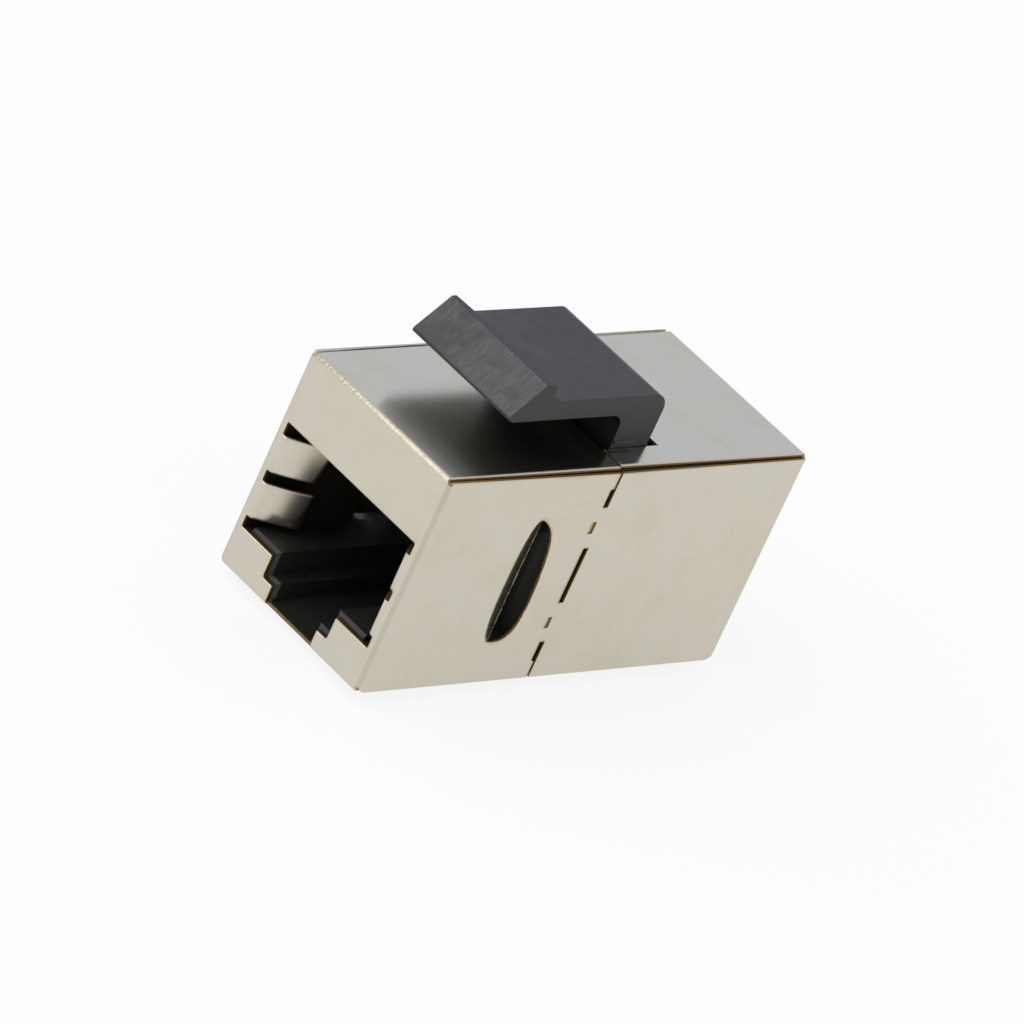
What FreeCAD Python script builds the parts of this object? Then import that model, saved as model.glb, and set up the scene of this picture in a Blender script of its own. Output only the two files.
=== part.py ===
"""Inline coupler for two shielded eight-way network plugs, made to snap into a keystone panel.

A folded sheet shield wraps two black jack housings set back to back.  A circuit board stands
between them and joins their spring contacts, and a black latch stands out of the top.

Lengths are in millimetres.  The model is built with its front face at depth 0 and the underside
of the sheet body at height 0, and save() then moves it to the part's own frame: +Z up, the front
port facing -Y, the origin at floor level under the middle of the part.
"""
import FreeCAD, Part
import math
import os
from FreeCAD import Vector

# ---------------------------------------------------------------- driving dimensions
body_width = 14.6
body_height = 16.2
body_length = 32.7
sheet = 0.2                     # thickness of the nickel-plated brass
bend_outside = 0.3              # radius of the folds round both end faces
bend_inside = bend_outside - sheet
slip = 0.05                     # play between the shield and the mouldings in it
past = 1.0                      # how far a cutting tool reaches past the face it opens
tiny = 0.01                     # overlap of two shapes that are joined or cut
same = 1e-6                     # two lengths that differ by less are taken as equal

half_width = body_width / 2
half_length = body_length / 2
inner_half_width = half_width - sheet
moulding_half_width = inner_half_width - slip
moulding_bottom = sheet + slip
moulding_top = body_height - sheet - slip
moulding_front = sheet + slip

# Catch under the body, which hooks the lower edge of the panel.
catch_drop = 0.9
catch_half_width = 3.0
catch_run = 2.2                 # length of each sloping tongue
catch_margin = 0.12             # clearance round each tongue in its window
panel_groove = (8.55, 10.35)    # depths of the two tips; the panel's edge lies between them

# Port cut in both end faces, measured from the middle and from the underside.
port_half_width = 6.45
port_top = 11.1
port_ledge = 3.05               # top of the metal beside the latch notch
notch_half_width = 3.4
notch_step = 1.38
tongue_half_width = 2.4         # narrow lower part of the notch, open through the fold
port_corner_radius = 0.25
finger_relief = 0.22            # how far the slits beside the fingers run on into the end face
finger_relief_radius = 0.12

# Spring fingers bent in from the sides of the port: lower and upper height of each.
finger_heights = [(3.95, 6.6), (7.45, 10.15)]
finger_fold = 53.0              # degrees from the end face where the tight fold ends
finger_turn = 66.0              # degrees from the end face at the tip
finger_length = 3.2
finger_room_end = 4.0           # depth of the recess behind the fingers

# Seam between the two halves of the shield.
seam_depth = 15.46
seam_gap = 0.2

# Perforated hinge in the right-hand wall: (lower height, upper height) of each cut.
hinge_slots = [(1.15, 2.8), (5.85, 10.1), (13.25, 14.8)]
hinge_windows = [(3.9, 4.75), (11.25, 12.15)]
hinge_slot_width = 0.46
hinge_window_width = 0.4
hinge_window_lead = 0.3         # how far the windows lie forward of the slots
hinge_window_sink = 0.1         # the windows are coined this deep, not pierced
hinge_bridges = [(2.8, 5.85), (10.1, 13.25)]

# Locking tabs of the left-hand wall, opposite the hinge.
tab_depth = 1.4
tab_gap = 0.1

# Open seams along the side walls, which stand outside the edges of the top and bottom sheets.
right_wall_top = [(0.2, 16.06), (15.46, 15.88), (32.5, 15.94)]  # (depth, height) of upper edge
left_wall_top = [(0.2, 16.17), (32.5, 16.17)]
top_edges = [((0.1, 6.98), (15.46, 7.06)),      # (depth, half width) at both ends of the top
             ((15.46, 6.9), (32.6, 7.08))]      # sheet's edge: front half, then rear half
rollover = 0.11                 # rounding that blanking leaves on the top sheet's upper edge
rollover_steps = (0, 30, 60, 90)
bottom_gap = 0.1
corner_bite = 0.28              # round relief where three sheets meet
corner_bite_inset = 0.08
flap_corner = (0.35, 0.7)       # width and length cut off the lower corners of each side wall

# Pressed louvre in each side wall of the front half.
louvre_height = 7.9             # height of its middle
louvre_half_height = 4.72
louvre_line = 10.1              # depth of both ends
louvre_bulge = 1.12             # how far its bend starts forward of that line, at mid-height
louvre_reach = 1.3              # how far its free edge lies behind that line, at mid-height
louvre_crease = 4.0             # degrees at which the bend leaves the wall
louvre_slope = 27.0             # degrees that the flap slopes inwards
louvre_bend = 1.3               # radius of the bend
louvre_burr = 0.035             # height of the burr along its free edge
louvre_power = 2.5              # higher makes both ends blunter
louvre_root = 0.3               # length of the flap's section that lies buried in the wall
louvre_overlap = 0.15           # how far the wall's hole reaches forward of the bend
louvre_room_back = 1.0          # room in the housing behind the flap's free edge
louvre_shares = [0.0, 0.45, 0.7, 0.85, 0.93, 0.975, 0.995]

# Rear edge of the louvre's hole, from its upper end to its lower end: height above the middle,
# and distance behind the line between both ends.
louvre_rim = [(4.72, 0.0), (4.35, 0.62), (3.75, 1.2), (2.95, 1.62), (2.2, 1.84), (1.4, 1.99),
              (0.3, 2.14), (-0.9, 2.22), (-2.0, 2.25), (-3.0, 2.17), (-3.75, 2.0),
              (-4.25, 1.72), (-4.6, 1.3), (-4.76, 0.75), (-4.72, 0.0)]

# Jack cavity in each housing.
cavity_half_width = 5.9
cavity_bottom = 3.45
cavity_top = 10.55
cavity_end = 13.1
lead_in = 0.2                   # chamfer round the mouth
roof_lead = (0.7, 1.5)          # height and depth of the longer lead-in of the roof
key_half_width = 3.1            # plug's latch runs in this stepped channel
key_step = 1.75
key_low_half_width = 2.1
key_floor = 0.55
key_floor_start = 2.5           # the channel's floor rises to its height over this depth
housing_end = 14.9

# Contact carrier and spring contacts.
contact_count = 8
contact_pitch = 1.02
wire_width = 0.32
wire_thickness = 0.3
wire_height = 12.1              # centre line of the wires on top of the carrier
wire_turn_radius = 0.55
wire_turn_depth = 3.6
wire_fall = 25.0                # degrees that the free ends slope down
wire_free_length = 6.2
wire_side_play = 0.05
carrier_half_width = 5.3
carrier_nose_play = 0.04        # between the carrier's nose and the wires turned round it
carrier_slot_half_width = 5.5
carrier_slot_bottom = 11.1
carrier_slot_top = 12.55
carrier_slot_start = 2.3
comb_start = 4.0
comb_end = 10.2
comb_play = 0.15
comb_slot_start = 2.7
comb_slot_end = 10.4

# Circuit board between the two jacks.
board_thickness = 1.6
board_half_width = 6.2
board_bottom = 1.6
board_top = 12.8
board_front = half_length - board_thickness / 2
board_window = (2.6, 12.6)      # lower and upper edge of the opening in front of the board

# Latch: an arm on a leg, with its foot on two trunnions under the top sheet.
latch_half_width = 5.0
leg_front = 16.1
leg_back = 19.5
arm_underside = 18.75
arm_top = 20.2
arm_corner_radius = 1.25
arm_inside_radius = 1.0
foot_radius = (leg_back - leg_front) / 2
pivot_depth = (leg_front + leg_back) / 2
pivot_height = 14.9
trunnion_radius = 0.8
trunnion_half_width = 5.65

# Profile of the latch's head: (depth, height) of each corner, with the radius that rounds it.
nose_underside = (5.92, arm_underside)
nose_tip = (5.35, 19.0)
nose_tip_radius = 0.2
ramp_foot = (5.56, 19.3)
ramp_top = (7.7, 21.5)
ramp_top_radius = 0.1
ridge_back = (8.65, 21.47)
ridge_foot = (8.78, 20.64)
arm_start = (9.6, arm_top)
ridge_turn = 3.2                # degrees that the ridge's rear wall turns forward to the left

# Small moulded stop at the foot of each side of the leg.
stop_radius = 0.15
stop_height = 16.62
stop_depths = (16.25, 18.0)
stop_sink = 0.04                # how deep its centre line lies inside the leg

# Pocket in the housings and hole in the top sheet, in which the latch rocks.
pocket_front = 15.78
latch_hole_back = 20.54
latch_hole_half_width = 5.04
pocket_side_play = 0.12
foot_play = 0.15
trunnion_play = 0.08


# ---------------------------------------------------------------- building helpers
def box(x0, x1, y0, y1, z0, z1):
    """Box between two corners."""
    return Part.makeBox(x1 - x0, y1 - y0, z1 - z0, Vector(x0, y0, z0))


def prism(points, direction):
    """Closed polygon of 3-D points, swept along a direction."""
    outline = Part.makePolygon(points + [points[0]])
    return Part.Face(outline).extrude(direction)


def side_prism(depth_height, x0, x1):
    """Polygon in depth and height, swept across the width."""
    points = [Vector(x0, depth, height) for depth, height in depth_height]
    return prism(points, Vector(x1 - x0, 0, 0))


def end_prism(width_height, y0, y1):
    """Polygon in width and height, swept along the length."""
    points = [Vector(x, y0, height) for x, height in width_height]
    return prism(points, Vector(0, y1 - y0, 0))


def cross_rod(radius, depth, height, half_width):
    """Cylinder lying across the part, centred in the width."""
    start = Vector(-half_width, depth, height)
    return Part.makeCylinder(radius, 2 * half_width, start, Vector(1, 0, 0))


def to_rear(shape):
    """Mirror image of a front piece at the other end of the coupler."""
    return shape.mirror(Vector(0, half_length, 0), Vector(0, 1, 0))


def to_left(shape):
    """Mirror image of a right-hand feature."""
    return shape.mirror(Vector(0, 0, 0), Vector(1, 0, 0))


def both_ends(shape):
    return [shape, to_rear(shape)]


def both_sides(shape):
    return [shape, to_left(shape)]


def edges_where(shape, test):
    """Edges whose two end points both pass a test."""
    return [edge for edge in shape.Edges if all(test(vertex.Point) for vertex in edge.Vertexes)]


def along_depth(edge):
    """True for a straight edge that runs front to back."""
    if len(edge.Vertexes) != 2:
        return False
    step = edge.Vertexes[1].Point.sub(edge.Vertexes[0].Point)
    return abs(step.x) < same and abs(step.z) < same


# ---------------------------------------------------------------- shield
def folded_box():
    """Closed sheet box whose end faces run into the four walls through rounded folds."""
    def rounded(inset, radius):
        block = box(-half_width + inset, half_width - inset, inset, body_length - inset,
                    inset, body_height - inset)
        ends = []
        for end in (inset, body_length - inset):
            ends += edges_where(block, lambda point, end=end: abs(point.y - end) < same)
        return block.makeFillet(radius, ends)
    return rounded(0, bend_outside).cut(rounded(sheet, bend_inside))


def port_cut():
    """The front face's opening: a wide window with a stepped notch for the plug's latch."""
    right = [(tongue_half_width, -past), (tongue_half_width, notch_step),
             (notch_half_width, notch_step), (notch_half_width, port_ledge),
             (port_half_width, port_ledge), (port_half_width, port_top)]
    left = [(-x, z) for x, z in reversed(right)]
    cut = end_prism(right + left, -past, bend_outside)

    def is_corner(edge):
        point = edge.Vertexes[0].Point
        at_side = abs(abs(point.x) - port_half_width) < same
        at_step = abs(abs(point.x) - notch_half_width) < same and abs(point.z - notch_step) < same
        return along_depth(edge) and (at_side or at_step)
    return cut.makeFillet(port_corner_radius, [edge for edge in cut.Edges if is_corner(edge)])


def finger_slits():
    """Ends of the slits above, between and below the fingers, cut on into the end face."""
    levels = [port_ledge] + [height for pair in finger_heights for height in pair] + [port_top]
    outer = port_half_width + finger_relief
    slits = []
    for low, high in zip(levels[0::2], levels[1::2]):
        slit = box(port_half_width - port_corner_radius, outer, -past, bend_outside, low, high)
        ends = [edge for edge in slit.Edges
                if along_depth(edge) and abs(edge.Vertexes[0].Point.x - outer) < same]
        slits.append(slit.makeFillet(finger_relief_radius, ends))
    return slits


def finger(low, high):
    """One spring finger: a strip that leaves the end face in a tight fold and curves inwards."""
    fold = math.radians(finger_fold)
    tip = math.radians(finger_turn)
    sweep = finger_length / (tip - fold)
    fold_end = Vector(port_half_width - bend_outside * math.sin(fold),
                      bend_outside * (1 - math.cos(fold)), low)

    def on_fold(angle):
        return Vector(port_half_width - bend_outside * math.sin(angle),
                      bend_outside * (1 - math.cos(angle)), low)

    def on_sweep(angle):
        return fold_end + Vector(math.sin(fold) - math.sin(angle),
                                 math.cos(fold) - math.cos(angle), 0) * sweep

    def behind(point, angle):
        return point + Vector(math.sin(angle), math.cos(angle), 0) * sheet
    fold_angles = [0.0, fold / 2, fold]
    sweep_angles = [fold, (fold + tip) / 2, tip]
    front_fold = [on_fold(angle) for angle in fold_angles]
    front_sweep = [on_sweep(angle) for angle in sweep_angles]
    back_fold = [behind(on_fold(angle), angle) for angle in fold_angles]
    back_sweep = [behind(on_sweep(angle), angle) for angle in sweep_angles]
    edges = [Part.Arc(*front_fold).toShape(),
             Part.Arc(*front_sweep).toShape(),
             Part.makeLine(front_sweep[2], back_sweep[2]),
             Part.Arc(*reversed(back_sweep)).toShape(),
             Part.Arc(*reversed(back_fold)).toShape(),
             Part.makeLine(back_fold[0], front_fold[0])]
    strip = Part.Face(Part.Wire(edges)).extrude(Vector(0, 0, high - low))
    anchor = box(port_half_width - tiny, port_half_width + finger_relief, 0, sheet, low, high)
    return strip.fuse(anchor)


def seam_cut():
    """Gap between the halves in the top, the bottom and the left wall, with two locking tabs."""
    low_edge = seam_depth - seam_gap / 2
    high_edge = seam_depth + seam_gap / 2
    top = box(-half_width - past, half_width + past, low_edge, high_edge,
              body_height - sheet - tiny, body_height + past)
    bottom = box(-half_width - past, half_width + past, low_edge, high_edge, -past, sheet + tiny)

    wall = [-half_width - past, -inner_half_width + tiny]
    left = box(wall[0], wall[1], low_edge, high_edge, -past, body_height + past)
    for low, high in hinge_bridges:
        tab = box(wall[0], wall[1], low_edge - tab_depth, high_edge + tiny, low, high)
        room = box(wall[0], wall[1], low_edge - tab_depth - tab_gap, high_edge,
                   low - tab_gap, high + tab_gap)
        left = left.fuse(room).cut(tab)
    return [top, bottom, left]


def hinge_cuts():
    """Row of slots and coined windows that lets the right wall fold open like a hinge."""
    x0 = inner_half_width - tiny
    x1 = half_width + past
    slot_back = seam_depth + seam_gap / 2
    slot_front = slot_back - hinge_slot_width
    line_front = slot_back - seam_gap
    cuts = [box(x0, x1, line_front, slot_back, -past, hinge_slots[0][1]),
            box(x0, x1, line_front, slot_back, hinge_slots[2][0], body_height + past)]
    slant = slot_back - line_front
    for low, high in hinge_slots:
        outline = [(slot_front, low), (slot_back, low), (slot_back, high), (slot_front, high)]
        if low == hinge_slots[0][0]:
            outline[0] = (slot_front, low + slant)
        if high == hinge_slots[2][1]:
            outline[3] = (slot_front, high - slant)
        cuts.append(side_prism(outline, x0, x1))
    window_back = slot_front + hinge_window_width - hinge_window_lead
    for low, high in hinge_windows:
        cuts.append(box(half_width - hinge_window_sink, x1, window_back - hinge_window_width,
                        window_back, low, high))
    return cuts


def edge_gaps(wall_top):
    """Open seams between the right wall, with this upper edge, and the sheets beside it."""
    over = body_height + past
    first = wall_top[0][0]
    last = wall_top[-1][0]
    wall_trim = side_prism(wall_top + [(last, over), (first, over)],
                           inner_half_width - tiny, half_width + past)
    lower = box(inner_half_width - bottom_gap, inner_half_width, sheet, body_length - sheet,
                -past, sheet + tiny)
    gaps = [wall_trim, lower]

    # Each edge of the top sheet is trimmed by one section, swept along that edge.
    for (depth, edge), (end_depth, end_edge) in top_edges:
        rounding = []
        for step in rollover_steps:
            turn = math.radians(step)
            rounding.append((edge - rollover * (1 - math.cos(turn)),
                             body_height - rollover * (1 - math.sin(turn))))
        section = rounding + [(edge - rollover, over), (inner_half_width, over),
                              (inner_half_width, body_height - sheet - tiny),
                              (edge, body_height - sheet - tiny)]
        points = [Vector(x, depth, height) for x, height in section]
        gaps.append(prism(points, Vector(end_edge - edge, end_depth - depth, 0)))
    return gaps


def corner_reliefs():
    """Reliefs at the front right corners: a round bite at each, and the wall's lower corner."""
    inset = corner_bite_inset
    bites = [Part.makeSphere(corner_bite, Vector(half_width - inset, inset, height))
             for height in (inset, body_height - inset)]
    width, length = flap_corner
    wall_corner = side_prism([(0, width), (0, -past), (length, -past), (length, 0)],
                             inner_half_width, half_width + past)
    behind_fold = box(0, half_width + past, bend_outside / 2, 2 * length, -past, body_height + past)
    return bites + [wall_corner.common(behind_fold)]


def louvre_swell(share):
    """Size of the louvre's section at a share of its half-height: 1 in the middle, 0 at an end."""
    return (1 - abs(share) ** louvre_power) ** (1 / louvre_power)


def louvre_section(share):
    """Closed section of the flap in the wall, at a share of the louvre's half-height."""
    swell = louvre_swell(share)
    height = louvre_height + share * louvre_half_height
    crease = math.radians(louvre_crease)
    slope = math.radians(louvre_slope)

    def on_bend(angle):
        return (-louvre_bulge + louvre_bend * (math.sin(angle) - math.sin(crease)),
                louvre_bend * (math.cos(crease) - math.cos(angle)))
    bend_end = on_bend(slope)
    drop = bend_end[1] + (louvre_reach - bend_end[0]) * math.tan(slope)
    outer = [(-louvre_bulge - louvre_root, -louvre_root * math.tan(crease)), on_bend(crease),
             on_bend((crease + slope) / 2), bend_end,
             (louvre_reach - louvre_burr / 2, drop - louvre_burr / 2 * math.tan(slope)),
             (louvre_reach, drop - louvre_burr), (louvre_reach, drop)]

    def place(back, down, inset):
        return Vector(half_width - down * swell - inset, louvre_line + back * swell, height)
    front = [place(back, down, 0) for back, down in outer]
    rear = [place(back, down, sheet) for back, down in outer[:4] + outer[6:]]
    edges = [Part.makeLine(front[0], front[1]),
             Part.Arc(*front[1:4]).toShape(),
             Part.makeLine(front[3], front[4]),
             Part.makeLine(front[4], front[5]),
             Part.makeLine(front[5], rear[4]),
             Part.makeLine(rear[4], rear[3]),
             Part.Arc(rear[3], rear[2], rear[1]).toShape(),
             Part.makeLine(rear[1], rear[0]),
             Part.makeLine(rear[0], front[0])]
    return Part.Wire(edges)


def louvre():
    """Flap cut free along its rear edge and pressed inwards, its ends drawn from the wall.

    Returns the hole to cut in the right wall and the flap that stays in it.
    """
    shares = [-share for share in reversed(louvre_shares[1:])] + louvre_shares
    flap = Part.makeLoft([louvre_section(share) for share in shares], True, False)
    flap = flap.common(box(0, half_width, 0, seam_depth, 0, body_height))

    def outline(pairs):
        curve = Part.BSplineCurve()
        curve.interpolate([Vector(inner_half_width - tiny, louvre_line + back,
                                  louvre_height + up) for up, back in pairs])
        return curve.toShape()
    buried = louvre_bulge + louvre_overlap
    front_edge = [(share * louvre_half_height, -buried * louvre_swell(share))
                  for share in [-1.0] + shares + [1.0]]
    hole = Part.Face(Part.Wire([outline(front_edge), outline(louvre_rim)]))
    return hole.extrude(Vector(sheet + past, 0, 0)), flap


def catch_pieces():
    """Two tongues pressed down out of the bottom sheet, facing each other across the panel."""
    slope = math.atan(catch_drop / catch_run)
    lift = sheet / math.cos(slope)
    windows = []
    tongues = []
    for tip, away in ((panel_groove[0], -1), (panel_groove[1], 1)):
        root = tip + away * catch_run
        outline = [(root, 0), (tip, -catch_drop), (tip, -catch_drop + lift), (root, sheet)]
        tongues.append(side_prism(outline, -catch_half_width, catch_half_width))
        windows.append(box(-catch_half_width - catch_margin, catch_half_width + catch_margin,
                           min(tip, root), max(tip, root), -past, sheet + tiny))
    return windows, tongues


def make_shield():
    """The whole folded sheet: closed box, less every cut, plus every tongue bent out of it."""
    windows, tongues = catch_pieces()
    hole, flap = louvre()
    latch_hole = box(-latch_hole_half_width, latch_hole_half_width, seam_depth, latch_hole_back,
                     body_height - sheet - tiny, body_height + past)
    cuts = both_ends(port_cut()) + seam_cut() + hinge_cuts() + windows + [latch_hole]
    cuts += both_sides(hole)
    for slit in finger_slits():
        for side in both_sides(slit):
            cuts += both_ends(side)
    cuts += edge_gaps(right_wall_top)
    cuts += [to_left(gap) for gap in edge_gaps(left_wall_top)]
    for relief in corner_reliefs():
        for side in both_sides(relief):
            cuts += both_ends(side)
    shield = folded_box().cut(Part.Compound(cuts))

    added = tongues + both_sides(flap)
    for low, high in finger_heights:
        for side in both_sides(finger(low, high)):
            added += both_ends(side)
    return shield.multiFuse(added).removeSplitter()


# ---------------------------------------------------------------- jack housings
def latch_pocket():
    """Room for the latch's foot and trunnions, open at the top."""
    over = moulding_top + past
    side = latch_half_width + pocket_side_play
    room = cross_rod(foot_radius + foot_play, pivot_depth, pivot_height, side)
    room = room.fuse(box(-side, side, pocket_front, latch_hole_back + slip, pivot_height, over))
    reach = trunnion_radius + trunnion_play
    end = trunnion_half_width + trunnion_play
    bearing = cross_rod(reach, pivot_depth, pivot_height, end)
    throat = box(-end, end, pivot_depth - reach, pivot_depth + reach, pivot_height, over)
    return room.multiFuse([bearing, throat])


def mouth():
    """Plug cavity over its stepped key channel, each with a chamfered lead-in at the front."""
    front = moulding_front

    def widened(by):
        right = [(key_low_half_width + by, key_floor), (key_low_half_width + by, key_step - by),
                 (key_half_width + by, key_step - by), (key_half_width + by, cavity_bottom - by),
                 (cavity_half_width, cavity_bottom - by), (cavity_half_width, cavity_top + by)]
        points = right + [(-x, z) for x, z in reversed(right)]
        return [Vector(x, 0, z) for x, z in points]

    def ring(by, depth):
        points = [point + Vector(0, depth, 0) for point in widened(by)]
        return Part.makePolygon(points + [points[0]])
    straight = Part.Face(ring(0, front - past)).extrude(Vector(0, cavity_end - front + past, 0))
    flare = Part.makeLoft([ring(lead_in, front), ring(0, front + lead_in)], True, True)
    over = cavity_top + roof_lead[0]
    roof = side_prism([(front - past, cavity_top - tiny), (front - past, over), (front, over),
                       (front + roof_lead[1], cavity_top - tiny)],
                      -cavity_half_width, cavity_half_width)
    tip = moulding_bottom + slip
    floor = side_prism([(front - past, key_floor + tiny), (front - past, tip), (front, tip),
                        (key_floor_start, key_floor + tiny)],
                       -key_low_half_width, key_low_half_width)
    return [straight, flare, roof, floor]


def make_housing():
    """Black block with the plug cavity, the key channel and the slot for the contact carrier."""
    block = box(-moulding_half_width, moulding_half_width, moulding_front, housing_end,
                moulding_bottom, moulding_top)

    # Recesses in the side walls behind the spring fingers, and windows behind the louvres.
    inside = cavity_half_width - tiny
    finger_room = box(inside, port_half_width + port_corner_radius, -past, finger_room_end,
                      port_ledge, port_top)
    louvre_room = box(inside, moulding_half_width + past, louvre_line - louvre_bulge - 2 * slip,
                      louvre_line + louvre_reach + louvre_room_back,
                      louvre_height - louvre_half_height - 2 * slip,
                      louvre_height + louvre_half_height + 2 * slip)

    # Slot for the carrier, open at the back, and the gap in the roof that its comb fills.
    slot = box(-carrier_slot_half_width, carrier_slot_half_width, carrier_slot_start,
               housing_end + past, carrier_slot_bottom, carrier_slot_top)
    comb_half_width = contact_pitch * contact_count / 2 + comb_play
    roof_gap = box(-comb_half_width, comb_half_width, comb_slot_start, comb_slot_end,
                   cavity_top - tiny, carrier_slot_bottom + tiny)
    tools = mouth() + [slot, roof_gap] + both_sides(finger_room) + both_sides(louvre_room)
    return block.cut(Part.Compound(tools))


def make_centre_frame():
    """Spacer between the housings: seats the circuit board and the front of the latch's foot."""
    back = body_length - housing_end
    frame = box(-moulding_half_width, moulding_half_width, housing_end, back,
                moulding_bottom, moulding_top)
    seat = box(-board_half_width - slip, board_half_width + slip, board_front, back + past,
               board_bottom - slip, board_top + slip)
    window = box(-carrier_slot_half_width, carrier_slot_half_width, housing_end - past, back,
                 *board_window)
    return frame.cut(Part.Compound([seat, window]))


# ---------------------------------------------------------------- contacts
def contact_x(index):
    return (index - (contact_count - 1) / 2) * contact_pitch


def make_carrier():
    """Insert that holds the eight wires: a plate with a rounded nose, ribs above, comb below."""
    half_gauge = wire_thickness / 2
    nose = wire_turn_radius - half_gauge - carrier_nose_play
    centre = wire_height - wire_turn_radius
    plate = box(-carrier_half_width, carrier_half_width, wire_turn_depth, board_front,
                centre - nose, centre + nose)
    plate = plate.fuse(cross_rod(nose, wire_turn_depth, centre, carrier_half_width))
    half_rib = contact_pitch / 2 - wire_width / 2 - wire_side_play
    comb_half_width = contact_pitch * contact_count / 2
    ribs = []
    for index in range(contact_count + 1):
        middle = contact_x(index) - contact_pitch / 2
        low = middle - half_rib if index > 0 else -carrier_half_width
        high = middle + half_rib if index < contact_count else carrier_half_width
        ribs.append(box(low, high, wire_turn_depth, board_front, centre, wire_height + half_gauge))
        ribs.append(box(max(low, -comb_half_width), min(high, comb_half_width),
                        comb_start, comb_end, cavity_top + slip, centre))
    return plate.multiFuse(ribs).removeSplitter()


def make_contact(index):
    """One spring wire: along the carrier, round its nose, and sloping back into the cavity."""
    fall = math.radians(wire_fall)
    turn = math.pi - fall
    centre = Vector(0, wire_turn_depth, wire_height - wire_turn_radius)
    run = Vector(0, math.cos(fall), -math.sin(fall)) * wire_free_length

    def on_turn(radius, angle):
        return centre + Vector(0, -radius * math.sin(angle), radius * math.cos(angle))
    outer = wire_turn_radius + wire_thickness / 2
    inner = wire_turn_radius - wire_thickness / 2
    outer_arc = [on_turn(outer, share * turn) for share in (0.0, 0.5, 1.0)]
    inner_arc = [on_turn(inner, share * turn) for share in (1.0, 0.5, 0.0)]
    tail = Vector(0, board_front - wire_turn_depth, 0)
    edges = [Part.makeLine(outer_arc[0] + tail, outer_arc[0]),
             Part.Arc(*outer_arc).toShape(),
             Part.makeLine(outer_arc[2], outer_arc[2] + run),
             Part.makeLine(outer_arc[2] + run, inner_arc[0] + run),
             Part.makeLine(inner_arc[0] + run, inner_arc[0]),
             Part.Arc(*inner_arc).toShape(),
             Part.makeLine(inner_arc[2], inner_arc[2] + tail),
             Part.makeLine(inner_arc[2] + tail, outer_arc[0] + tail)]
    strip = Part.Face(Part.Wire(edges)).extrude(Vector(wire_width, 0, 0))
    strip.translate(Vector(contact_x(index) - wire_width / 2, 0, 0))
    return strip


def make_board():
    return box(-board_half_width, board_half_width, board_front, board_front + board_thickness,
               board_bottom, board_top)


# ---------------------------------------------------------------- latch
def make_latch():
    """Arm, ramp-nosed head, leg and foot as one profile, with a stop and a trunnion each side."""
    block_back = arm_start[0] + past
    outline = [nose_underside, nose_tip, ramp_foot, ramp_top, (block_back, ridge_back[1]),
               (block_back, arm_top), (leg_back, arm_top), (leg_back, pivot_height),
               (leg_front, pivot_height), (leg_front, arm_underside)]
    profile = side_prism(outline, -latch_half_width, latch_half_width)
    rounded = [((leg_back, arm_top), arm_corner_radius),
               ((leg_front, arm_underside), arm_inside_radius),
               (nose_tip, nose_tip_radius), (ramp_top, ramp_top_radius)]
    for (depth, height), radius in rounded:
        corner = edges_where(profile, lambda point, depth=depth, height=height:
                             abs(point.y - depth) < same and abs(point.z - height) < same)
        profile = profile.makeFillet(radius, corner)

    # The ridge behind the ramp narrows to the left: its rear wall is cut at a slight turn.
    over = ridge_back[1] + past
    rear_room = side_prism([(ridge_back[0], over), ridge_back, ridge_foot, arm_start,
                            (block_back + past, arm_top), (block_back + past, over)],
                           -latch_half_width - past, latch_half_width + past)
    rear_room.rotate(Vector(latch_half_width, ridge_back[0], 0), Vector(0, 0, 1), ridge_turn)
    profile = profile.cut(rear_room)
    foot = cross_rod(foot_radius, pivot_depth, pivot_height, latch_half_width)
    trunnions = cross_rod(trunnion_radius, pivot_depth, pivot_height, trunnion_half_width)
    stop = Part.makeCylinder(stop_radius, stop_depths[1] - stop_depths[0],
                             Vector(latch_half_width - stop_sink, stop_depths[0], stop_height),
                             Vector(0, 1, 0))
    return profile.multiFuse([foot, trunnions] + both_sides(stop)).removeSplitter()


# ---------------------------------------------------------------- write the nodes
def save(name, shape):
    """Move a piece to the part's frame, check it, and write it."""
    placed = shape.copy()
    placed.translate(Vector(0, -half_length, catch_drop))
    solids = placed.Solids
    assert len(solids) == 1, "%s has %d solids" % (name, len(solids))
    assert placed.isValid(), "%s is not valid" % name
    solids[0].exportStep("parts/%s.step" % name)
    print("%-26s %9.2f mm3  %4d faces" % (name, solids[0].Volume, len(solids[0].Faces)))


def main():
    os.makedirs("parts", exist_ok=True)
    save("shield_shell", make_shield())
    housing = make_housing()
    pocket = latch_pocket()
    save("front_jack_housing", housing)
    save("rear_jack_housing", to_rear(housing).cut(pocket))
    save("centre_frame", make_centre_frame().cut(pocket))
    save("circuit_board", make_board())
    carrier = make_carrier()
    save("front_contact_carrier", carrier)
    save("rear_contact_carrier", to_rear(carrier))
    for index in range(contact_count):
        contact = make_contact(index)
        save("front_contact_%d" % (index + 1), contact)
        save("rear_contact_%d" % (index + 1), to_rear(contact))
    save("keystone_latch", make_latch())


main()
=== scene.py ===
"""Looks of a shielded inline coupler for network plugs, in the order in which it is put together.

Everything is in metres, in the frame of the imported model: +Z up, the front port facing -Y.
"""
import math

import bmesh
import bpy
from mathutils import Matrix, Vector
from mathutils.bvhtree import BVHTree

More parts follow.
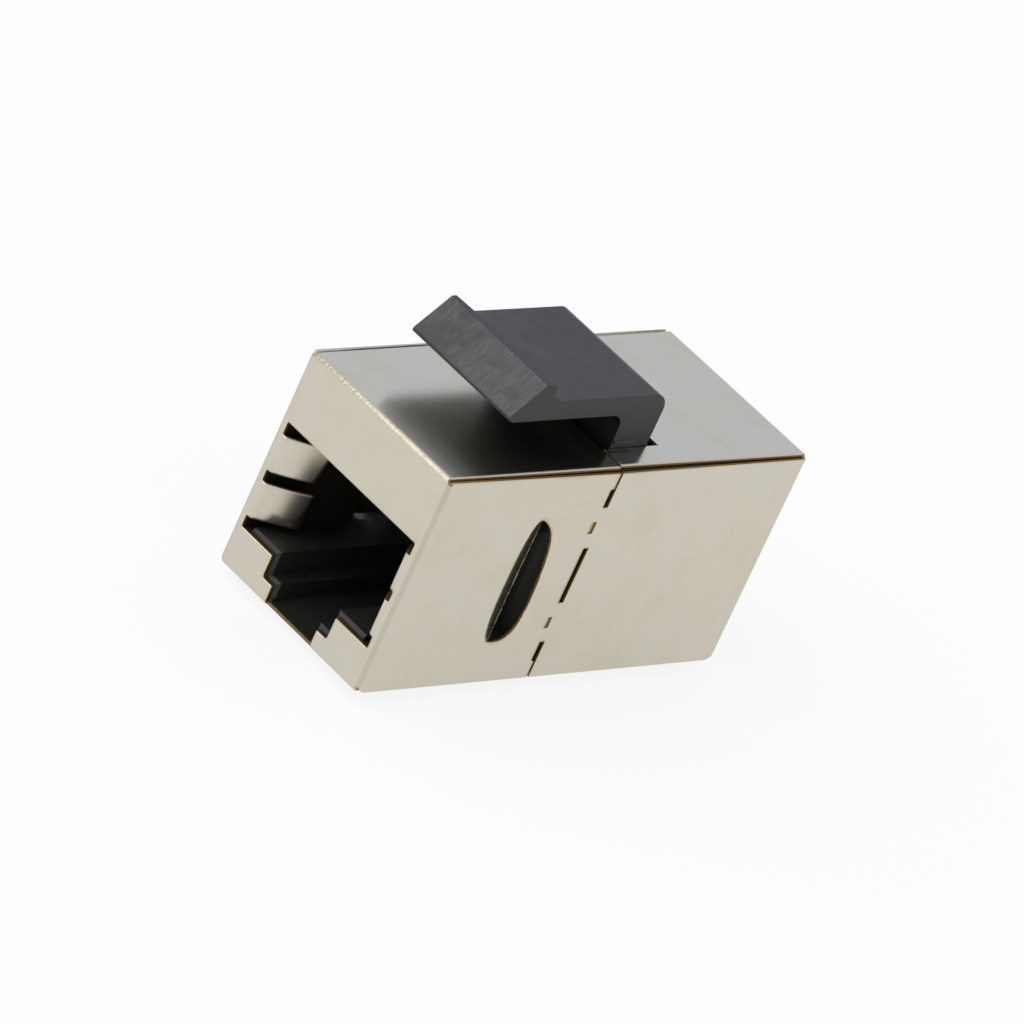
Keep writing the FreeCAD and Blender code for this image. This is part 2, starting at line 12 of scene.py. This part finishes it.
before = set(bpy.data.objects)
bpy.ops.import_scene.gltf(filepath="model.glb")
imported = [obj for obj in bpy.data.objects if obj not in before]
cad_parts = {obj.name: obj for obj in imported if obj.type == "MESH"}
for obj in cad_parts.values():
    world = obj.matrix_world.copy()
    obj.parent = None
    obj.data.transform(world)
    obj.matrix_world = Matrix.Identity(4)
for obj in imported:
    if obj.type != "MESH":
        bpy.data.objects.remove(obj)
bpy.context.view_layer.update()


# ------------------------------------------------------------------ circuit board
# A glass-epoxy board stands upright between the two sockets.  Its faces carry green solder
# mask, and the fibre of the laminate shows as a fine weave under it.
millimetre = 0.001
thread = 0.5 * millimetre


def from_hex(code):
    """Colour written as sRGB hex, turned to linear values for a shader."""
    values = [int(code[i:i + 2], 16) / 255 for i in (1, 3, 5)]
    linear = [v / 12.92 if v <= 0.04045 else ((v + 0.055) / 1.055) ** 2.4 for v in values]
    return (*linear, 1.0)


def wire(tree, node, values):
    """Sets a node's sockets to these values, or links those given as another node's socket."""
    for name, value in values.items():
        if isinstance(value, bpy.types.NodeSocket):
            tree.links.new(value, node.inputs[name])
        else:
            node.inputs[name].default_value = value


def add(tree, kind, values=(), stops=(), **settings):
    """Adds a node: its sockets' values, a colour ramp's (position, hex) stops, its settings."""
    node = tree.nodes.new("ShaderNode" + kind)
    for name, value in settings.items():
        setattr(node, name, value)
    wire(tree, node, dict(values))
    if stops:
        elements = node.color_ramp.elements
        for element, (position, code) in zip(elements, (stops[0], stops[-1])):
            element.position, element.color = position, from_hex(code)
        for position, code in stops[1:-1]:
            elements.new(position).color = from_hex(code)
    return node


def start_material(name):
    """Empty material with a Principled shader wired to its output."""
    material = bpy.data.materials.new(name)
    material.use_nodes = True
    tree = material.node_tree
    tree.nodes.clear()
    shader = add(tree, "BsdfPrincipled")
    add(tree, "OutputMaterial", {"Surface": shader.outputs["BSDF"]})
    return material, tree, shader


def finish_nodes(names, material):
    """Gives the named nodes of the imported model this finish."""
    for name in names:
        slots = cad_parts[name].data.materials
        slots.clear()
        slots.append(material)


board_mask, tree, shader = start_material("solder_mask_on_glass_epoxy")
place = add(tree, "TexCoord").outputs["Object"]
bands = {"Vector": place, "Scale": 1 / thread / math.tau, "Distortion": 1.0}
warp = add(tree, "TexWave", bands, bands_direction="Z")
weft = add(tree, "TexWave", bands, bands_direction="X")
weave = add(tree, "Math", {0: warp.outputs["Fac"], 1: weft.outputs["Fac"]},
            operation="MULTIPLY").outputs["Value"]
tint = add(tree, "ValToRGB", {"Fac": weave}, stops=[(0.0, "#0B3A1E"), (1.0, "#15552D")])
bump = add(tree, "Bump", {"Height": weave, "Strength": 0.3, "Distance": 0.01 * millimetre})
wire(tree, shader, {"Base Color": tint.outputs["Color"], "Normal": bump.outputs["Normal"],
                    "Roughness": 0.35})
finish_nodes(["circuit_board"], board_mask)


# ------------------------------------------------------------------ contact wires
# Eight phosphor-bronze wires at each end spring down into the socket.  They are drawn and
# gold-plated, so they are smooth, with faint lines along the drawing direction.
contacts = [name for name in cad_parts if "_contact_" in name and "carrier" not in name]
die_line = 0.05 * millimetre
gold_plate, tree, shader = start_material("gold_plated_drawn_wire")
place = add(tree, "TexCoord").outputs["Object"]
drawn = add(tree, "Mapping", {"Vector": place, "Scale": (1.0, 0.05, 0.3)})
lines = add(tree, "TexNoise", {"Vector": drawn.outputs["Vector"], "Scale": 1 / die_line,
                               "Detail": 2.0}).outputs["Fac"]
tint = add(tree, "ValToRGB", {"Fac": lines}, stops=[(0.3, "#D9A441"), (0.7, "#E8BE6A")])
shine = add(tree, "MapRange", {"Value": lines, "To Min": 0.16, "To Max": 0.32})
wire(tree, shader, {"Base Color": tint.outputs["Color"], "Roughness": shine.outputs["Result"],
                    "Metallic": 1.0})
finish_nodes(contacts, gold_plate)


# ------------------------------------------------------------------ contact carriers
# Each set of wires lies in the grooves of a moulded comb.  It is glass-filled nylon: dull and
# dark, with the short fibres showing as faint flecks.
def grained(name, grain, detail, tints, strength, depth, finish):
    """Material with an even grain in its colour and relief.  The finish is its constants."""
    material, tree, shader = start_material(name)
    place = add(tree, "TexCoord").outputs["Object"]
    flecks = add(tree, "TexNoise", {"Vector": place, "Scale": 1 / grain,
                                    "Detail": detail}).outputs["Fac"]
    tint = add(tree, "ValToRGB", {"Fac": flecks}, stops=tints)
    bump = add(tree, "Bump", {"Height": flecks, "Strength": strength, "Distance": depth})
    wire(tree, shader, {"Base Color": tint.outputs["Color"], "Normal": bump.outputs["Normal"],
                        **finish})
    return material


nylon = grained("glass_filled_nylon", 0.15 * millimetre, 3.0,
                tints=[(0.35, "#141414"), (0.75, "#242423")],
                strength=0.4, depth=0.004 * millimetre, finish={"Roughness": 0.55})
finish_nodes(["front_contact_carrier", "rear_contact_carrier"], nylon)


# ------------------------------------------------------------------ jack housings and frame
# The two socket blocks and the spacer between them are black polycarbonate, moulded with a
# spark-eroded grain that keeps them matt down in the sockets.  The real grain of about
# 0.03 mm is drawn coarser, so that it shows.
black_moulding = grained("black_moulded_polycarbonate", 0.12 * millimetre, 4.0,
                         tints=[(0.3, "#1F201B"), (0.8, "#2B2C26")],
                         strength=0.5, depth=0.003 * millimetre,
                         finish={"Roughness": 0.38, "Specular IOR Level": 0.3})
finish_nodes(["front_jack_housing", "rear_jack_housing", "centre_frame"], black_moulding)


# ------------------------------------------------------------------ shield
# One sheet of brass, blanked, plated with nickel and folded round the sockets.  The plate is a
# warm satin grey with faint cloudy stains.  The blanked edges show the bare brass, painted dark
# brown in the gaps and paler in the windows (painted shade and painted highlight), and their
# rolled-over rims are painted pale cream: a painted highlight.
sheet = 0.2 * millimetre
half_width = 7.3 * millimetre
half_length = 16.35 * millimetre
wall_foot = 0.9 * millimetre
left_wall_top = 17.0 * millimetre
middle_height = 8.5 * millimetre
fold_start, fold_full = 0.45 * millimetre, 0.35 * millimetre
stain = 2.8 * millimetre
rolling_line = 0.10 * millimetre
crack = 0.25 * millimetre


def soften_edges(name, width, angle, segments):
    """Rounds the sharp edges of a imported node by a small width, as tumbling or moulding does."""
    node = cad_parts[name]
    node.modifiers.new("join", "WELD").merge_threshold = 0.0005 * millimetre
    bevel = node.modifiers.new("rim", "BEVEL")
    bevel.width = width
    bevel.segments = segments
    bevel.limit_method = "ANGLE"
    bevel.angle_limit = math.radians(angle)
    bevel.use_clamp_overlap = True
    even = node.modifiers.new("even", "WEIGHTED_NORMAL")
    even.keep_sharp = False
    even.weight = 100
    return bevel


def where(tree, *ranges, most=1.0):
    """Share of the surface on which every value has gone from its start to its end."""
    share = most
    for value, start, end in ranges:
        rise = add(tree, "MapRange", {"Value": value, "From Min": start, "From Max": end})
        share = add(tree, "Math", {0: share, 1: rise.outputs["Result"]},
                    operation="MULTIPLY").outputs["Value"]
    return share


plate, tree, shader = start_material("satin_nickel_plate")
geometry = add(tree, "NewGeometry")
coordinates = add(tree, "TexCoord")
place = coordinates.outputs["Object"]
position = add(tree, "SeparateXYZ", {"Vector": place}).outputs
facing = add(tree, "SeparateXYZ", {"Vector": coordinates.outputs["Normal"]}).outputs
face_normal = add(tree, "SeparateXYZ", {"Vector": geometry.outputs["True Normal"]}).outputs
side_edge = add(tree, "Math", {0: facing["X"], 1: facing["Y"]}, operation="MULTIPLY")
top_edge = add(tree, "Math", {0: facing["Z"], 1: facing["Y"]}, operation="MULTIPLY")
outward, lengthwise, side_turn, top_turn, squareness = [
    add(tree, "Math", {0: value}, operation="ABSOLUTE").outputs["Value"]
    for value in (position["X"], position["Y"], side_edge.outputs["Value"],
                  top_edge.outputs["Value"], face_normal["X"])]

# The plate is stretched where it is folded and crazed along the top.  Along the side folds it is
# painted darker: painted shade.
at_end = (lengthwise, half_length - fold_start, half_length - fold_full)
at_side = (outward, half_width - fold_start, half_width - fold_full)
above_middle = (position["Z"], middle_height - 0.5 * millimetre, middle_height + 0.5 * millimetre)
side_fold = where(tree, (side_turn, 0.08, 0.4), at_end, at_side)
top_fold = where(tree, (top_turn, 0.05, 0.3), at_end, above_middle)
cloud = add(tree, "TexNoise", {"Vector": place, "Scale": 1 / stain, "Detail": 5.0,
                               "Distortion": 0.4})
craze = add(tree, "TexNoise", {"Vector": place, "Scale": 1 / crack,
                               "Detail": 3.0}).outputs["Fac"]
tint = add(tree, "ValToRGB", {"Fac": cloud.outputs["Fac"]},
           stops=[(0.32, "#CCC8B8"), (0.50, "#CFCBBE"), (0.68, "#CDCBC3")])
# Painted shade: the side folds are mixed a fifth of the way towards a dark brown-grey.
painted_side_fold_shade = add(tree, "MixRGB", {"Fac": where(tree, (side_fold, 0.0, 1.0), most=0.2),
                            "Color1": tint.outputs["Color"], "Color2": from_hex("#8C8470")})

# Blanking leaves each cut rim rounded over, widest at the louvre, and the rims are painted a pale
# warm cream: a painted highlight along them.  The walls' lower edges stay crisp, and flat walls
# keep their own normal.
on_wall = (outward, half_width - 0.04 * millimetre, half_width - 0.02 * millimetre)
over_foot = (position["Z"], wall_foot, wall_foot + 0.3 * millimetre)
by_louvre = where(tree, on_wall,
                  (position["Z"], wall_foot + 0.9 * millimetre, wall_foot + 1.5 * millimetre),
                  (position["Y"], -6.8 * millimetre, -6.5 * millimetre),
                  (position["Y"], -4.0 * millimetre, -4.2 * millimetre), most=0.33 * millimetre)
by_hinge = where(tree, on_wall, (lengthwise, 1.5 * millimetre, 1.4 * millimetre),
                 most=0.15 * millimetre)
wider = add(tree, "Math", {0: by_louvre, 1: by_hinge}, operation="ADD")
rounding = add(tree, "Math", {0: wider.outputs["Value"], 1: 0.22 * millimetre}, operation="ADD")
radius = add(tree, "Math", {0: rounding.outputs["Value"], 1: where(tree, over_foot)},
             operation="MULTIPLY")
rounded = add(tree, "Bevel", {"Radius": radius.outputs["Value"]}, samples=6)
turned = add(tree, "VectorMath", {0: rounded.outputs["Normal"], 1: geometry.outputs["Normal"]},
             operation="DOT_PRODUCT").outputs["Value"]
left_edge = where(tree, (position["X"], -half_width + 0.30 * millimetre,
                         -half_width + 0.25 * millimetre),
                  (position["Z"], left_wall_top - 0.05 * millimetre, left_wall_top))
rim = where(tree, (turned, 0.998, 0.93), (side_fold, 1.0, 0.0), (left_edge, 1.0, 0.0), most=0.9)
flat = where(tree, (squareness, 0.9995, 0.9999), (turned, 0.97, 0.99))
even = add(tree, "MixRGB", {"Fac": flat, "Color1": rounded.outputs["Normal"],
                            "Color2": geometry.outputs["True Normal"]})
# Painted highlight: the rounded rims are mixed towards a pale warm cream.
painted_rim_highlight = add(tree, "MixRGB", {"Fac": rim, "Color1": painted_side_fold_shade.outputs["Color"],
                              "Color2": from_hex("#DBC8A7")})
# Along the crazed top fold the plate is mixed towards a warm cream that gives the fold's glint its
# colour: a painted highlight over the crazed relief.
glint = where(tree, (top_fold, 0.0, 1.0), (craze, 0.35, 0.65))
bright = add(tree, "MixRGB", {"Fac": glint, "Color1": painted_rim_highlight.outputs["Color"],
                              "Color2": from_hex("#CABC9C")})

# The sheet was rolled: its fine lines run across the part, so reflections smear lengthwise.
stretched = add(tree, "Mapping", {"Vector": place, "Scale": (0.12, 1.0, 0.12)})
rolling = add(tree, "TexNoise", {"Vector": stretched.outputs["Vector"],
                                 "Scale": 1 / rolling_line, "Detail": 3.0}).outputs["Fac"]
shine = add(tree, "MapRange", {"Value": rolling, "To Min": 0.18, "To Max": 0.24})
rough = add(tree, "Math", {0: shine.outputs["Result"],
                           1: where(tree, (top_fold, 0.0, 1.0), most=0.2)}, operation="ADD")
line_bump = add(tree, "Bump", {"Height": rolling, "Strength": 0.15,
                               "Distance": 0.004 * millimetre, "Normal": even.outputs["Color"]})
craze_bump = add(tree, "Bump", {"Height": craze, "Strength": top_fold,
                                "Distance": 0.08 * millimetre,
                                "Normal": line_bump.outputs["Normal"]})
across = add(tree, "VectorMath", {0: geometry.outputs["Normal"], 1: (0.0, 1.0, 0.15)},
             operation="CROSS_PRODUCT")
wire(tree, shader, {"Base Color": bright.outputs["Color"], "Roughness": rough.outputs["Value"],
                    "Normal": craze_bump.outputs["Normal"], "Tangent": across.outputs["Vector"],
                    "Metallic": 1.0, "Anisotropic": 0.66, "Anisotropic Rotation": 0.25})

# The cut edges show the bare brass, painted dark brown: painted shade for the narrow gaps they
# face.  The coined windows show the same brass painted paler: a painted highlight.
torn = {"grain": 0.06 * millimetre, "detail": 2.0, "strength": 0.5, "depth": 0.01 * millimetre}
cut_brass = grained("cut_brass_painted_shade", tints=[(0.35, "#70552C"), (0.7, "#A5844E")],
                    finish={"Roughness": 0.5, "Metallic": 0.7}, **torn)
coined_brass = grained("coined_brass_painted_highlight", tints=[(0.35, "#9A845C"), (0.7, "#CDB88C")],
                       finish={"Roughness": 0.35, "Metallic": 0.9}, **torn)

# A face with more than a sheet's thickness of metal behind it is a cut edge, and one with half
# of it on the hinge side is a coined window.  A few edges at the corners stay plated.
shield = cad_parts["shield_shell"].data
shield.materials.clear()
for material in (plate, cut_brass, coined_brass):
    shield.materials.append(material)
bm = bmesh.new()
bm.from_mesh(shield)
walls = BVHTree.FromBMesh(bm)
bm.free()
reach = 2 * millimetre
for face in shield.polygons:
    start = face.center - face.normal * 1e-7
    depth = walls.ray_cast(start, -face.normal, reach)[3]
    thickness = reach if depth is None else depth
    x, y, z = [value / millimetre for value in face.center]
    plated = ((x < -7.0 and face.normal.z > 0.9)
              or (x < -6.8 and y < -15.9 and z > 16.5)
              or (abs(x) > 6.9 and y < -15.7 and z < 1.4))
    if thickness > 1.35 * sheet and not plated:
        face.material_index = 1
    elif 0.4 * sheet < thickness < 0.6 * sheet and x > 7.0:
        face.material_index = 2
    else:
        face.material_index = 0
soften_edges("shield_shell", 0.045 * millimetre, 40, 2).material = 0


# ------------------------------------------------------------------ keystone latch
# One black polyamide moulding, the arm that springs the coupler into its panel.  It is finely
# grained and a little greyed by handling, and the ramp of its head shows draw marks down the
# slope.  The real grain of about 0.03 mm is drawn coarser, so that it shows.
grain_size = 0.10 * millimetre
draw_mark = 0.10 * millimetre
worn_patch = 1.6 * millimetre
ramp_foot = 20.0 * millimetre
arm_underside = 19.8 * millimetre
latch_black, tree, shader = start_material("black_moulded_polyamide")
coordinates = add(tree, "TexCoord")
place = coordinates.outputs["Object"]
position = add(tree, "SeparateXYZ", {"Vector": place}).outputs
facing = add(tree, "SeparateXYZ", {"Vector": coordinates.outputs["Normal"]}).outputs
drawn = add(tree, "Mapping", {"Vector": place, "Scale": (1.0, 0.12, 0.12)})
marks, wear, grain = [
    add(tree, "TexNoise", {"Vector": vector, "Scale": 1 / size, "Detail": detail}).outputs["Fac"]
    for vector, size, detail in ((drawn.outputs["Vector"], draw_mark, 3.0),
                                 (place, worn_patch, 4.0), (place, grain_size, 4.0))]
mould_tint = add(tree, "ValToRGB", {"Fac": wear}, stops=[(0.3, "#131510"), (0.75, "#23261E")])
mark_tint = add(tree, "ValToRGB", {"Fac": marks}, stops=[(0.3, "#2C2C2A"), (0.75, "#555550")])

# The marks show on the ramp, in patches, and more of them towards its right end.
on_ramp = where(tree, (facing["Y"], -0.55, -0.65),
                (position["Z"], ramp_foot, ramp_foot + 0.1 * millimetre))
rightward = add(tree, "MapRange", {"Value": position["X"], "From Min": -5.0 * millimetre,
                                   "From Max": 5.0 * millimetre, "To Min": -0.05,
                                   "To Max": 0.10})
patches = add(tree, "Math", {0: wear, 1: rightward.outputs["Result"]}, operation="ADD")
worn = add(tree, "MapRange", {"Value": patches.outputs["Value"], "From Min": 0.38,
                              "From Max": 0.62, "To Min": 0.3, "To Max": 1.1})
share = add(tree, "Math", {0: on_ramp, 1: worn.outputs["Result"]}, operation="MULTIPLY",
            use_clamp=True)
tint = add(tree, "MixRGB", {"Fac": share.outputs["Value"],
                            "Color1": mould_tint.outputs["Color"],
                            "Color2": mark_tint.outputs["Color"]})
relief = add(tree, "Math", {0: grain, 1: marks}, operation="ADD")
bump = add(tree, "Bump", {"Height": relief.outputs["Value"], "Strength": 0.35,
                          "Distance": 0.006 * millimetre})
handled = add(tree, "MapRange", {"Value": wear, "From Min": 0.3, "From Max": 0.7,
                                 "To Min": 0.36, "To Max": 0.48})

# The front of the leg, under the arm, is given a low specular level: painted shade where the arm
# shades it, so it hardly gleams.
under_arm_shade = where(tree, (position["Z"], arm_underside + 0.1 * millimetre,
                         arm_underside - 0.1 * millimetre), (facing["Y"], -0.3, -0.6))
painted_shade_gleam = add(tree, "MapRange", {"Value": under_arm_shade, "To Min": 0.5, "To Max": 0.1})
wire(tree, shader, {"Base Color": tint.outputs["Color"], "Normal": bump.outputs["Normal"],
                    "Roughness": handled.outputs["Result"],
                    "Specular IOR Level": painted_shade_gleam.outputs["Result"]})
finish_nodes(["keystone_latch"], latch_black)
soften_edges("keystone_latch", 0.12 * millimetre, 30, 3)


# ------------------------------------------------------------------ floor
# A plain white table.  It shows almost white to the camera and in the plated metal, and keeps a
# soft shadow of the part.
table_reach = 3.0
cloudiness = 40 * millimetre
bm = bmesh.new()
bmesh.ops.create_grid(bm, x_segments=1, y_segments=1, size=table_reach)
table_mesh = bpy.data.meshes.new("table")
bm.to_mesh(table_mesh)
bm.free()
table = bpy.data.objects.new("table", table_mesh)
bpy.context.scene.collection.objects.link(table)
white_paper, tree, shader = start_material("white_paper")
place = add(tree, "TexCoord").outputs["Object"]
fibre = add(tree, "TexNoise", {"Vector": place, "Scale": 1 / cloudiness, "Detail": 2.0})
tint = add(tree, "ValToRGB", {"Fac": fibre.outputs["Fac"]},
           stops=[(0.3, "#F4F2EF"), (0.7, "#F7F5F2")])
wire(tree, shader, {"Base Color": tint.outputs["Color"], "Roughness": 0.8})
path = add(tree, "LightPath").outputs
tone = add(tree, "MixRGB", {"Fac": path["Is Glossy Ray"], "Color1": (1.0, 1.0, 1.0, 1.0),
                            "Color2": from_hex("#FFFCF5")})
glow = add(tree, "Emission", {"Color": tone.outputs["Color"], "Strength": 1.0})
direct = add(tree, "Math", {0: path["Is Camera Ray"], 1: path["Is Glossy Ray"]},
             operation="MAXIMUM")
seen = add(tree, "Math", {0: direct.outputs["Value"], 1: path["Is Transmission Ray"]},
           operation="MAXIMUM")
whiteness = add(tree, "MapRange", {"Value": path["Is Glossy Ray"], "To Min": 0.85,
                                   "To Max": 0.7})
share = add(tree, "Math", {0: seen.outputs["Value"], 1: whiteness.outputs["Result"]},
            operation="MULTIPLY")
mix = add(tree, "MixShader", {0: share.outputs["Value"], 1: shader.outputs["BSDF"],
                              2: glow.outputs["Emission"]})
wire(tree, tree.nodes["Material Output"], {"Surface": mix.outputs["Shader"]})
table.data.materials.append(white_paper)


# ------------------------------------------------------------------ light
# Plain studio light: an even, slightly cool surround, and one broad soft lamp, high at the
# front left, that lights the top and the front without hard shadows.
world = bpy.data.worlds.new("studio")
world.use_nodes = True
bpy.context.scene.world = world
tree = world.node_tree
tree.nodes.clear()
sky = add(tree, "Background", {"Color": from_hex("#E9EDF8"), "Strength": 0.9})
add(tree, "OutputWorld", {"Surface": sky.outputs["Background"]})

lamp_place = Vector((-0.25, -0.55, 0.60))
lamp_turn = lamp_place.to_track_quat("Z", "Y").to_matrix().to_4x4()
lamp_data = bpy.data.lights.new("soft_box", "AREA")
lamp_data.shape = "RECTANGLE"
lamp_data.size = 0.9
lamp_data.size_y = 0.7
lamp_data.energy = 3.0
lamp = bpy.data.objects.new("soft_box", lamp_data)
lamp.matrix_world = Matrix.Translation(lamp_place) @ lamp_turn
bpy.context.scene.collection.objects.link(lamp)


# ------------------------------------------------------------------ camera
# A long lens looks down at the front right corner from about 0.6 m, so the part shows little
# perspective.  The camera is tilted sideways a little.
azimuth, elevation, roll = [math.radians(angle) for angle in (37.73, 25.75, 24.886)]
distance = 0.5763
aim = Vector((0.00046, -0.00074, 0.00900))
back = Vector((math.sin(azimuth) * math.cos(elevation),
               -math.cos(azimuth) * math.cos(elevation), math.sin(elevation)))
level = Vector((0, 0, 1)).cross(back).normalized()
upright = back.cross(level)
right = level * math.cos(roll) + upright * math.sin(roll)
up = back.cross(right)
camera_turn = Matrix((right, up, back)).transposed().to_4x4()
camera_data = bpy.data.cameras.new("camera")
camera_data.sensor_width = 36.0
camera_data.lens = 316.8
camera_data.clip_start = 0.01
camera_data.clip_end = 20.0
camera = bpy.data.objects.new("camera", camera_data)
camera.matrix_world = Matrix.Translation(aim + back * distance) @ camera_turn
bpy.context.scene.collection.objects.link(camera)
bpy.context.scene.camera = camera
bpy.context.scene.view_settings.view_transform = "Standard"
